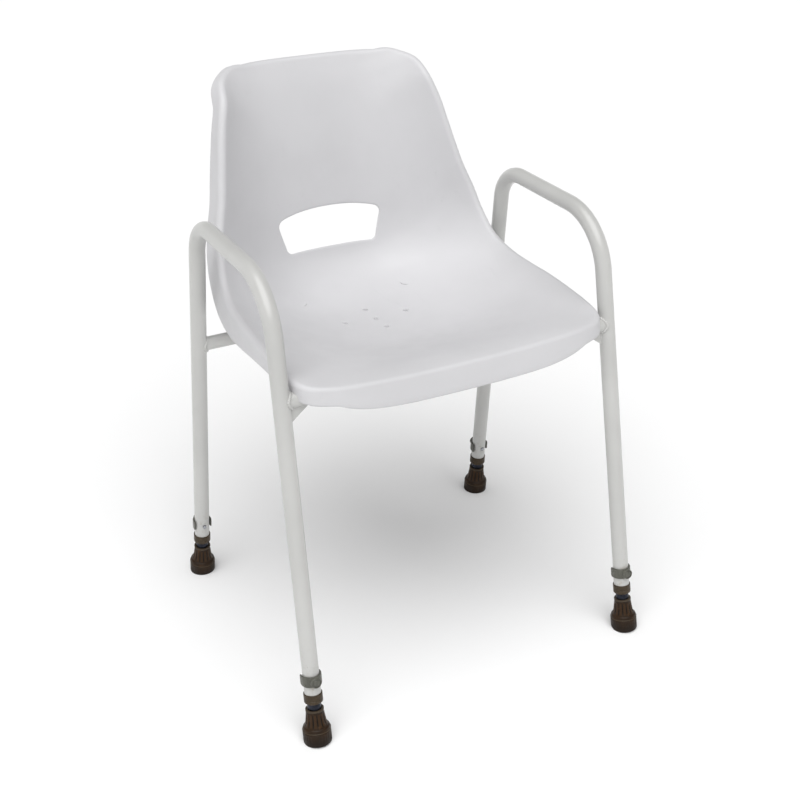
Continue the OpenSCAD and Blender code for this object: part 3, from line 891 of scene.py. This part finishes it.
def boss_solids(seat, x, rail):
    """Boss round a seat fixing and the ribs that stiffen it."""
    y, z, radius = rail
    top = surface_height(x, y) - seat.wall / 2
    side, edge = seat.boss / 2, 0.0006
    outline = [(0, z), (side - edge, z), (side, z + edge), (side, top), (0, top)]
    points, faces = lathe(outline, 48)
    yield solid_mesh("boss", moved(points, Matrix.Translation((x, y, 0))), faces)
    for quarter in range(4):
        angle = math.pi / 4 + quarter * math.pi / 2
        end_x = x + seat.rib_reach * math.cos(angle)
        end_y = y + seat.rib_reach * math.sin(angle)
        end = Vector((end_x, end_y, surface_height(end_x, end_y) - seat.wall / 2))
        start = Vector((x, y, top))
        start_low = max(z + radius + 0.001, top - 0.018)
        yield rib_solid(start, end, start_low, end.z - seat.wall * 0.9, 0.0011)


def bar_across(rail, clearance):
    """Cutting bar along a cross rail."""
    y, z, radius = rail
    reach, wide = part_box("seat_shell")[1].x + 0.02, radius + clearance
    points, faces = lathe([(0, -reach), (wide, -reach), (wide, reach), (0, reach)], 72)
    turn = Matrix.Translation((0, y, z)) @ Matrix.Rotation(math.pi / 2, 4, "Y")
    return solid_mesh("bar", moved(points, turn), faces)


def drain_cutter(seat, x, y):
    """Cutter for a drain hole, flared where it meets the upper surface."""
    r, z = seat.drain / 2, surface_height(x, y)
    below, above = z - 0.03, z + 0.01
    flare = [(r, z - 0.0009), (r + 0.0004, z - 0.0003), (r + 0.0011, z + 0.0002)]
    outline = [(0, below), (r, below)] + flare + [(r + 0.002, above), (0, above)]
    points, faces = lathe(outline, 40)
    return solid_mesh("drain", moved(points, Matrix.Translation((x, y, 0))), faces)


class CHAIR_OT_seat(bpy.types.Operator):
    """Builds the moulded seat with its rolled rim, skirt, hand slot, drain holes, bosses and ribs"""
    bl_idname = "shower_chair.seat"
    bl_label = "Seat"

    def execute(self, context):
        seat = settings().seat
        piece = loose_object("seat", seat_moulding(seat))
        rails = [rail_line("front_cross_rail"), rail_line("rear_cross_rail")]
        bosses = []
        for x in (-seat.fixing, seat.fixing):
            for rail in rails:
                boss, *ribs = [loose_object("boss", mesh) for mesh in boss_solids(seat, x, rail)]
                for rib in ribs:
                    combine(boss, rib, "UNION")
                bosses.append(boss)
        combine(piece, gather(bosses), "UNION")
        cutters = [loose_object("bar", bar_across(rail, 0.0001)) for rail in rails]
        middle = seat.drain_middle + FOOTPRINT_MIDDLE
        aside, fore = seat.drain_side, seat.drain_fore
        for x, y in ((0, 0), (-aside, 0), (aside, 0), (0, -fore), (0, fore)):
            cutters.append(loose_object("drain", drain_cutter(seat, x, middle + y)))
        combine(piece, gather(cutters), "DIFFERENCE")
        settle(piece, "frame", seat_plastic(), ["seat_shell"])
        return {"FINISHED"}


# ---- Frame ----

def frame_path(side, leg):
    """Stations of a side frame's centre line, front tube end to rear one, as (point, tangent)."""
    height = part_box(side + "_side_frame")[1].z - leg.tube
    along = Vector((0, 1, 0))
    stations = []
    for end, bend in (("front", leg.front_bend), ("rear", leg.rear_bend)):
        name = side_leg(side, end)
        up, foot = leg_matrix(name).col[2].to_3d(), FEET[name]
        way = along if end == "front" else -along
        turn = up.angle(way)
        corner = foot + up * ((height - foot.z) / up.z)
        start = corner - up * bend * math.tan(turn / 2)
        inward = (way - way.project(up)).normalized()
        low = foot + up * leg.tube_end
        line = [(low, up)] + [(low.lerp(start, k / 24), up) for k in range(1, 24)]
        steps = math.ceil(math.degrees(turn) / 2.5)
        for k in range(steps + 1):
            a = turn * k / steps
            point = start + bend * (math.sin(a) * up + (1 - math.cos(a)) * inward)
            line.append((point, math.cos(a) * up + math.sin(a) * inward))
        stations += line if end == "front" else [(point, -tangent) for point, tangent in reversed(line)]
    return stations


def side_leg(side, end):
    return end + "_" + side


def side_frame_solid(side, leg):
    """Bent tube with its bore and softly rounded ends."""
    path = frame_path(side, leg)
    level = path[0][1].cross(Vector((0, 1, 0))).normalized()
    edge, bore = 0.0004, leg.tube - leg.tube_wall
    first, last = path[0], path[-1]
    inner_first = (first[0] + first[1] * edge, first[1])
    inner_last = (last[0] - last[1] * edge, last[1])
    inner_path = [inner_first] + path[1:-1] + [inner_last]
    stations = [(first[0], first[1], leg.tube - edge)]
    stations += [(point, tangent, leg.tube) for point, tangent in inner_path]
    stations += [(last[0], last[1], leg.tube - edge), (last[0], last[1], bore + edge / 2)]
    stations += [(point, tangent, bore) for point, tangent in reversed(inner_path)]
    stations += [(first[0], first[1], bore + edge / 2)]
    turns = [2 * math.pi * k / 48 for k in range(48)]
    rings = []
    for point, tangent, radius in stations:
        across = tangent.cross(level)
        rings.append([point + radius * (math.cos(a) * level + math.sin(a) * across) for a in turns])
    points, faces = sweep(rings, closed=True)
    return solid_mesh("side frame", points, faces)


def pin_matrix(leg):
    """From a lathe's upright axis to the locking pin's, in the leg's own axes."""
    return Matrix.Translation((0, 0, leg.pin_height)) @ Matrix.Rotation(math.pi / 2, 4, "X")


def pin_bar(name, leg):
    """Cutting bar along a locking pin."""
    radius, reach = leg.pin + FIT, 2 * leg.tube
    points, faces = lathe([(0, -reach), (radius, -reach), (radius, reach), (0, reach)], 32)
    placed = moved(moved(points, pin_matrix(leg)), leg_matrix(name))
    return loose_object("pin bar", solid_mesh("pin bar", placed, faces))


def bead_rings(path, radius, weld, closed):
    """Rings of a rippled weld bead along (point, away) pairs. An open one is thinned at its ends."""
    count, sides, run, rings = len(path), 12, 0, []
    for i, (point, away) in enumerate(path):
        after = path[(i + 1) % count if closed else min(count - 1, i + 1)][0]
        before = path[i - 1 if closed or i else 0][0]
        tangent = (after - before).normalized()
        across = tangent.cross(away).normalized()
        run += (point - before).length
        size = radius * (1 + weld.ripple * math.sin(2 * math.pi * run / weld.pitch))
        if not closed:
            size *= max(0.15, math.sin(math.pi * (i + 0.5) / count) ** 0.3)
        turns = [2 * math.pi * k / sides for k in range(sides)]
        rings.append([point + size * (math.cos(a) * away + math.sin(a) * across) for a in turns])
    return rings


def saddle_path(leg, rail, tube):
    """Closed path where a cross rail meets a leg of the side frame."""
    y, z, radius = rail
    foot, up = FEET[leg], leg_matrix(leg).col[2].to_3d()
    inward = 1 if foot.x < 0 else -1
    path, steps = [], 150
    for step in range(steps):
        angle = 2 * math.pi * step / steps
        out = Vector((0, math.cos(angle), math.sin(angle)))
        offset = Vector((0, y, z)) + radius * out - foot
        offset.x = 0
        along = offset.y * up.y + offset.z * up.z
        a, b = 1 - up.x ** 2, -2 * up.x * along
        c = offset.y ** 2 + offset.z ** 2 - along ** 2 - tube ** 2
        offset.x = (-b + inward * math.sqrt(b * b - 4 * a * c)) / (2 * a)
        from_leg = (offset - offset.project(up)).normalized()
        path.append((foot + offset, (from_leg + out).normalized()))
    return path


def gusset_paths(leg, rail, sizes, weld):
    """Open paths of the beads on both faces of a gusset, along the leg and along the rail."""
    y, z, radius = rail
    matrix = leg_matrix(leg)
    foot, up = FEET[leg], matrix.col[2].to_3d()
    inward = Vector((1 if foot.x < 0 else -1, 0, 0))
    out = (inward - inward.project(up)).normalized()
    side = up.cross(out).normalized()
    half = weld.gusset / 2
    height = (z - foot.z) / up.z
    low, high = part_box("front_gussets")
    drop = (high.z - low.z) / up.z
    reach = math.sqrt(sizes.tube ** 2 - half ** 2)
    lift = math.sqrt(radius ** 2 - half ** 2)
    start, end = height - radius * 0.9, height - drop * 0.96 - radius * 0.5
    centre = Vector((foot.x + up.x * height + inward.x * sizes.tube, y, z))
    steps = 40
    for face in (side * half, -side * half):
        from_leg = (out + face.normalized()).normalized()
        yield [(foot + up * (start + (end - start) * k / steps) + out * reach + face, from_leg)
               for k in range(steps + 1)]
        from_rail = (face.normalized() - up).normalized()
        yield [(centre + inward * (weld.gusset_reach * k / steps) - up * lift + face, from_rail)
               for k in range(steps + 1)]


class CHAIR_OT_side_frames(bpy.types.Operator):
    """Bends the two side frames: rear leg, armrest and front leg in one tube with its pin holes"""
    bl_idname = "shower_chair.side_frames"
    bl_label = "Side frames"

    def execute(self, context):
        leg = settings().leg
        for side in ("left", "right"):
            piece = loose_object(side + "_bent_tube", side_frame_solid(side, leg))
            bars = [pin_bar(side_leg(side, end), leg) for end in ("front", "rear")]
            combine(piece, gather(bars), "DIFFERENCE")
            settle(piece, "frame", coated_steel(), [side + "_side_frame"])
        return {"FINISHED"}


class CHAIR_OT_rails(bpy.types.Operator):
    """Gives the cross rails and gussets their coating and softens the gussets' edges"""
    bl_idname = "shower_chair.rails"
    bl_label = "Rails and gussets"

    def execute(self, context):
        finish_nodes(coated_steel(), "front_cross_rail", "rear_cross_rail", "front_gussets")
        soften_edges("front_gussets", 0.0007)
        return {"FINISHED"}


class CHAIR_OT_welds(bpy.types.Operator):
    """Runs a rippled weld bead round each end of both cross rails and along the gussets"""
    bl_idname = "shower_chair.welds"
    bl_label = "Welds"

    def execute(self, context):
        sizes, weld = settings().leg, settings().weld
        for leg in LEGS:
            rail = rail_line("front_cross_rail" if leg.startswith("front") else "rear_cross_rail")
            path = saddle_path(leg, rail, sizes.tube)
            points, faces = sweep(bead_rings(path, weld.bead, weld, True), closed=True)
            piece = loose_object(leg + "_rail_weld", solid_mesh("weld", points, faces))
            settle(piece, "frame", coated_steel())
            if leg.startswith("front"):
                for number, line in enumerate(gusset_paths(leg, rail, sizes, weld)):
                    points, faces = sweep(bead_rings(line, weld.bead * 0.7, weld, False))
                    mesh = solid_mesh("weld", points, faces)
                    piece = loose_object(f"{leg}_gusset_weld_{number + 1}", mesh)
                    settle(piece, "frame", coated_steel())
        return {"FINISHED"}


class CHAIR_OT_fixings(bpy.types.Operator):
    """Gives the seat screws and their washers a zinc finish"""
    bl_idname = "shower_chair.fixings"
    bl_label = "Seat fixings"

    def execute(self, context):
        finish_nodes(zinc_steel(), "seat_screws", "screw_washers")
        return {"FINISHED"}


# ---- Legs ----

SOLE_LOW = -0.003              # the sole's start, under the floor until it is pressed flat
SOLE_GROOVES = ((0.0045, 0.0063), (0.0105, 0.0123))   # radii between which the sole is grooved
GROOVE_DEPTH = 0.0012
RING_HEIGHT = 0.018            # height of the ring round a ferrule's base
NOTCH_LOW, NOTCH_HIGH = 0.0025, 0.0155   # heights between which a ferrule's base is notched
NOTCH_DEPTH = 0.0005


def ferrule_outline(leg):
    """Outline of a ferrule from its sole's middle, up its outside and down into its socket."""
    base, mouth, top, shoulder = leg.ferrule_base, leg.ferrule_mouth, leg.ferrule_top, leg.shoulder
    waist, socket = mouth + 0.0014, leg.leg + FIT
    ring = RING_HEIGHT
    sole_radii = (0, 0.004, 0.0046, 0.0062, 0.0068, 0.010, 0.0106, 0.0122, 0.0128)
    sole = [(r, SOLE_LOW) for r in sole_radii]
    edge = arc((base - 0.003, 0.0), 0.003, -90, 0, 8)
    wall = [(base, height) for height in (0.003, 0.006, 0.009, 0.012, ring - 0.0022)]
    bead = [(base - 0.0005, ring - 0.0016), (base - 0.0006, ring - 0.0010), (base - 0.0004, ring - 0.0006),
            (base + 0.0001, ring - 0.0003), (base + 0.0002, ring + 0.0001), (base, ring + 0.0006),
            (base - 0.0005, ring + 0.0009), (base - 0.0007, ring + 0.0014), (base - 0.0007, ring + 0.0018)]
    round_top = arc((base - 0.0045, shoulder - 0.004), 0.0038, 0, 68, 6)
    body = [
        (waist + 0.0019, shoulder + 0.0008), (waist + 0.0011, shoulder + 0.0026),
        (waist + 0.0004, shoulder + 0.0048), (waist, shoulder + 0.0075),
        (waist - 0.0005, shoulder + 0.0115), (waist - 0.0011, shoulder + 0.0155),
        (mouth - 0.0002, top - 0.0050), (mouth - 0.0005, top - 0.0040), (mouth - 0.0004, top - 0.0034),
    ]
    r = 0.0007
    lip = arc((mouth - r, top - 0.0024), r, -60, 0, 3) + arc((mouth - r, top - r), r, 0, 90, 4)
    inside = arc((socket + 0.0008, top - 0.0008), 0.0008, 90, 180, 4)
    inside += [(socket, leg.sole + 0.02), (socket, leg.sole), (0, leg.sole)]
    return sole + edge + wall + bead + round_top + body + lip + inside


def ferrule_solid(matrix, leg):
    """Fluted ferrule in its leg's axes, flat on the floor, with two grooves round its sole."""
    low, high = leg.shoulder + 0.0015, leg.ferrule_top - 0.0065

    def fluted(radius, height, angle):
        if radius < leg.leg + 0.001:
            return radius
        wave = 1 - (0.5 + 0.5 * math.cos(leg.flutes * angle)) ** 3
        if low < height < high:
            share = min(1, (height - low) / 0.004, (high - height) / 0.004)
            return radius - leg.flute_depth * (1 - wave) * share
        if NOTCH_LOW < height < NOTCH_HIGH:
            notch = (0.5 + 0.5 * math.cos(2 * leg.flutes * angle)) ** 8
            share = min(1, (height - NOTCH_LOW) / 0.003, (NOTCH_HIGH - height) / 0.003)
            return radius - NOTCH_DEPTH * notch * share
        return radius

    points, faces = lathe(ferrule_outline(leg), leg.flutes * 12, fluted)
    placed = moved(points, matrix)
    for source, point in zip(points, placed):
        radius = math.hypot(source[0], source[1])
        grooved = any(inner < radius < outer for inner, outer in SOLE_GROOVES)
        point.z = GROOVE_DEPTH if grooved and source[2] <= SOLE_LOW else max(0.0, point.z)
    return solid_mesh("ferrule", moved(placed, matrix.inverted()), faces)


class CHAIR_OT_ferrules(bpy.types.Operator):
    """Moulds the four fluted rubber ferrules"""
    bl_idname = "shower_chair.ferrules"
    bl_label = "Ferrules"

    def execute(self, context):
        for leg in LEGS:
            matrix = leg_matrix(leg)
            piece = loose_object(leg + "_rubber_foot", ferrule_solid(matrix, settings().leg))
            piece.matrix_world = matrix
            settle(piece, leg + "_leg", brown_rubber(), [leg + "_ferrule"])
        return {"FINISHED"}


def collar_outline(leg):
    """Loop of a collar's section: a bush under the tube's end with a rounded skirt outside it."""
    r, low, top = leg.collar, leg.collar_low, leg.collar_top
    bore, seat_bore = leg.leg + 0.0001, leg.tube + FIT
    return (
        [(bore, low + 0.0004), (bore + 0.0004, low), (r - 0.0024, low)]
        + arc((r - 0.0012, low + 0.0024), 0.0012, -60, 0, 4)
        + [(r, low + 0.0060), (r - 0.0004, low + 0.0064), (r - 0.0004, low + 0.0071), (r, low + 0.0075)]
        + arc((r - 0.0010, top - 0.0010), 0.0010, 0, 90, 5)
        + [(seat_bore + 0.0002, top), (seat_bore, top - 0.0002)]
        + [(seat_bore, leg.tube_end), (bore, leg.tube_end)]
    )


class CHAIR_OT_collars(bpy.types.Operator):
    """Turns the four collars at the ends of the side frame tubes"""
    bl_idname = "shower_chair.collars"
    bl_label = "Collars"

    def execute(self, context):
        for leg in LEGS:
            points, faces = lathe(collar_outline(settings().leg), 72)
            mesh = solid_mesh("collar", moved(points, leg_matrix(leg)), faces)
            piece = loose_object(leg + "_tube_collar", mesh)
            settle(piece, "frame", brown_plastic(), [leg + "_collar"])
        return {"FINISHED"}


def rounded_section(half_width, half_height, power=5, sides=28):
    """Points of a rounded rectangle as (across, up)."""
    turns = [2 * math.pi * k / sides for k in range(sides)]
    return [
        (half_width * math.copysign(abs(math.cos(a)) ** (2 / power), math.cos(a)),
         half_height * math.copysign(abs(math.sin(a)) ** (2 / power), math.sin(a)))
        for a in turns
    ]


def strap_rings(leg):
    """Rings of the clip's U-shaped strap round the outer side of the tube, tapering at its ends."""
    radius = leg.tube + CLIP_GAP + leg.strap / 2
    tail_steps, bend_steps = 6, 48
    path = [(-radius, leg.strap_tail * (1 - k / tail_steps), (1, 0)) for k in range(tail_steps)]
    for k in range(bend_steps + 1):
        a = math.pi * k / bend_steps
        path.append((-radius * math.cos(a), -radius * math.sin(a), (math.cos(a), math.sin(a))))
    path += [(radius, leg.strap_tail * k / tail_steps, (-1, 0)) for k in range(1, tail_steps + 1)]
    rings = []
    for i, (x, y, way) in enumerate(path):
        ends = min(i, len(path) - 1 - i)
        share = (0.55, 0.9, 1.0)[min(ends, 2)]
        section = rounded_section(leg.strap / 2 * share, leg.strap_height / 2 * (0.5 + 0.5 * share))
        rings.append([(x + way[0] * w, y + way[1] * w, leg.pin_height + h) for w, h in section])
    return rings


def head_outline(leg):
    """Outline of the clip's round head, which covers the pin's end, as (radius, depth)."""
    start = leg.tube + CLIP_GAP + leg.strap * 0.4
    face = leg.tube + CLIP_GAP + leg.strap + leg.head_out
    r, pin = leg.head, leg.pin
    return (
        [(0, start), (r - 0.0004, start), (r, start + 0.0004)]
        + arc((r - 0.0009, face - 0.0009), 0.0009, 0, 90, 5)
        + [(r - 0.0013, face), (r - 0.0017, face - 0.0010)]
        + [(r - 0.0026, face - 0.0010), (r - 0.0030, face - 0.0002)]
        + [(pin + 0.0006, face + 0.0003), (pin, face + 0.0004)]
        + [(pin - 0.001, face + 0.0006), (0, face + 0.0008)]
    )


class CHAIR_OT_clips(bpy.types.Operator):
    """Builds the four locking clips: a strap round the tube with a round head over the pin"""
    bl_idname = "shower_chair.clips"
    bl_label = "Clips"

    def execute(self, context):
        leg = settings().leg
        for name in LEGS:
            matrix = leg_matrix(name)
            points, faces = sweep(strap_rings(leg))
            strap = solid_mesh("strap", moved(points, matrix), faces)
            piece = loose_object(name + "_lock_clip", strap)
            points, faces = lathe(head_outline(leg), 48)
            head = solid_mesh("head", moved(moved(points, pin_matrix(leg)), matrix), faces)
            combine(piece, loose_object("head", head), "UNION")
            settle(piece, name + "_lock", clip_plastic(), [name + "_clip"])
        return {"FINISHED"}


class CHAIR_OT_leg_tubes(bpy.types.Operator):
    """Gives the telescopic tubes, pins and discs their steel finishes"""
    bl_idname = "shower_chair.leg_tubes"
    bl_label = "Leg tubes and pins"

    def execute(self, context):
        for leg in LEGS:
            finish_nodes(leg_steel(), leg + "_leg_tube")
            finish_nodes(pin_steel(), leg + "_pin")
            finish_nodes(zinc_steel(), leg + "_disc")
        return {"FINISHED"}


# ---- Stage ----

FLOOR_RINGS = (0.5, 2, 6, 14)   # radii of the floor's rings
FLOOR_DEEP = 0.02
FLOOR_DROP = 0.0002             # keeps the floor clear of the soles
SENSOR = 36                     # camera sensor width in millimetres
SKY_FALL = (0.2, 0.42)          # upward share of the view between which the sky dims


def direction_from(turn, tilt):
    """Unit vector towards an azimuth and elevation in degrees, azimuth 0 in front of the chair."""
    a, e = math.radians(turn), math.radians(tilt)
    return Vector((math.sin(a) * math.cos(e), -math.cos(a) * math.cos(e), math.sin(e)))


def add_key_light(stage):
    """Broad far light with soft shadows."""
    data = bpy.data.lights.new("key_light", "SUN")
    data.energy = stage.key
    data.angle = math.radians(stage.key_spread)
    light = loose_object("key_light", data)
    way = direction_from(stage.key_turn, stage.key_tilt)
    light.location = 3 * way
    light.rotation_euler = way.to_track_quat("Z", "Y").to_euler()


def add_camera(stage):
    """Camera at its place, turned by azimuth, elevation and roll."""
    data = bpy.data.cameras.new("Camera")
    data.lens = stage.lens
    data.sensor_width = SENSOR
    camera = loose_object("Camera", data)
    roll = math.radians(stage.roll)
    back = direction_from(stage.turn, stage.tilt)
    level = Vector((0, 0, 1)).cross(back).normalized()
    upright = back.cross(level)
    right = math.cos(roll) * level + math.sin(roll) * upright
    matrix = Matrix((right, back.cross(right), back)).transposed().to_4x4()
    matrix.translation = Vector(stage.place)
    camera.matrix_world = matrix
    bpy.context.scene.camera = camera


def add_floor(finish):
    """Large round floor, finely divided towards the middle."""
    outline = [(r, -FLOOR_DEEP) for r in (0, *FLOOR_RINGS)]
    outline += [(r, 0) for r in (*reversed(FLOOR_RINGS), 0)]
    points, faces = lathe(outline, 64)
    floor = loose_object("floor", solid_mesh("floor", points, faces))
    floor.location = (0, 0, -FLOOR_DROP)
    floor.data.materials.append(finish)


def add_backdrop(stage):
    """Surrounding light that is pale near the horizon and dimmer overhead."""
    world = bpy.data.worlds.new("studio")
    bpy.context.scene.world = world
    world.use_nodes = True
    tree = world.node_tree
    way = tree.nodes.new("ShaderNodeTexCoord").outputs["Generated"]
    split = tree.nodes.new("ShaderNodeSeparateXYZ")
    fall = tree.nodes.new("ShaderNodeMapRange")
    fall.interpolation_type = "SMOOTHSTEP"
    set_range(fall, *SKY_FALL, stage.horizon, stage.sky)
    tree.links.new(way, split.inputs[0])
    tree.links.new(split.outputs["Z"], fall.inputs["Value"])
    tree.links.new(fall.outputs["Result"], tree.nodes["Background"].inputs["Strength"])
    tree.nodes["Background"].inputs["Color"].default_value = (1, 1, 1, 1)


class CHAIR_OT_stage(bpy.types.Operator):
    """Sets up the camera, the pale floor and the soft studio lights"""
    bl_idname = "shower_chair.stage"
    bl_label = "Stage"

    def execute(self, context):
        stage = settings().stage
        add_camera(stage)
        add_floor(studio_floor())
        add_key_light(stage)
        add_backdrop(stage)
        context.scene.view_settings.view_transform = "Standard"
        return {"FINISHED"}


# ---- Add-on ----

OPERATORS = (
    CHAIR_OT_stage, CHAIR_OT_seat, CHAIR_OT_side_frames, CHAIR_OT_rails, CHAIR_OT_welds, CHAIR_OT_fixings,
    CHAIR_OT_leg_tubes, CHAIR_OT_collars, CHAIR_OT_clips, CHAIR_OT_ferrules,
)


class CHAIR_PT_panel(bpy.types.Panel):
    """Lists the chair's pieces"""
    bl_label = "Shower chair"
    bl_idname = "CHAIR_PT_panel"
    bl_space_type = "VIEW_3D"
    bl_region_type = "UI"
    bl_category = "Shower chair"

    def draw(self, context):
        for operator in OPERATORS:
            self.layout.operator(operator.bl_idname)


CLASSES = (
    ChairSeatSettings, ChairLegSettings, ChairWeldSettings, ChairColourSettings, ChairStageSettings,
    ChairSettings, *OPERATORS, CHAIR_PT_panel,
)


def register():
    for item in CLASSES:
        bpy.utils.register_class(item)
    bpy.types.Scene.shower_chair = PointerProperty(type=ChairSettings)


def unregister():
    del bpy.types.Scene.shower_chair
    for item in reversed(CLASSES):
        bpy.utils.unregister_class(item)


def main():
    register()
    for operator in OPERATORS:
        group, name = operator.bl_idname.split(".")
        getattr(getattr(bpy.ops, group), name)()


if __name__ == "__main__":
    main()
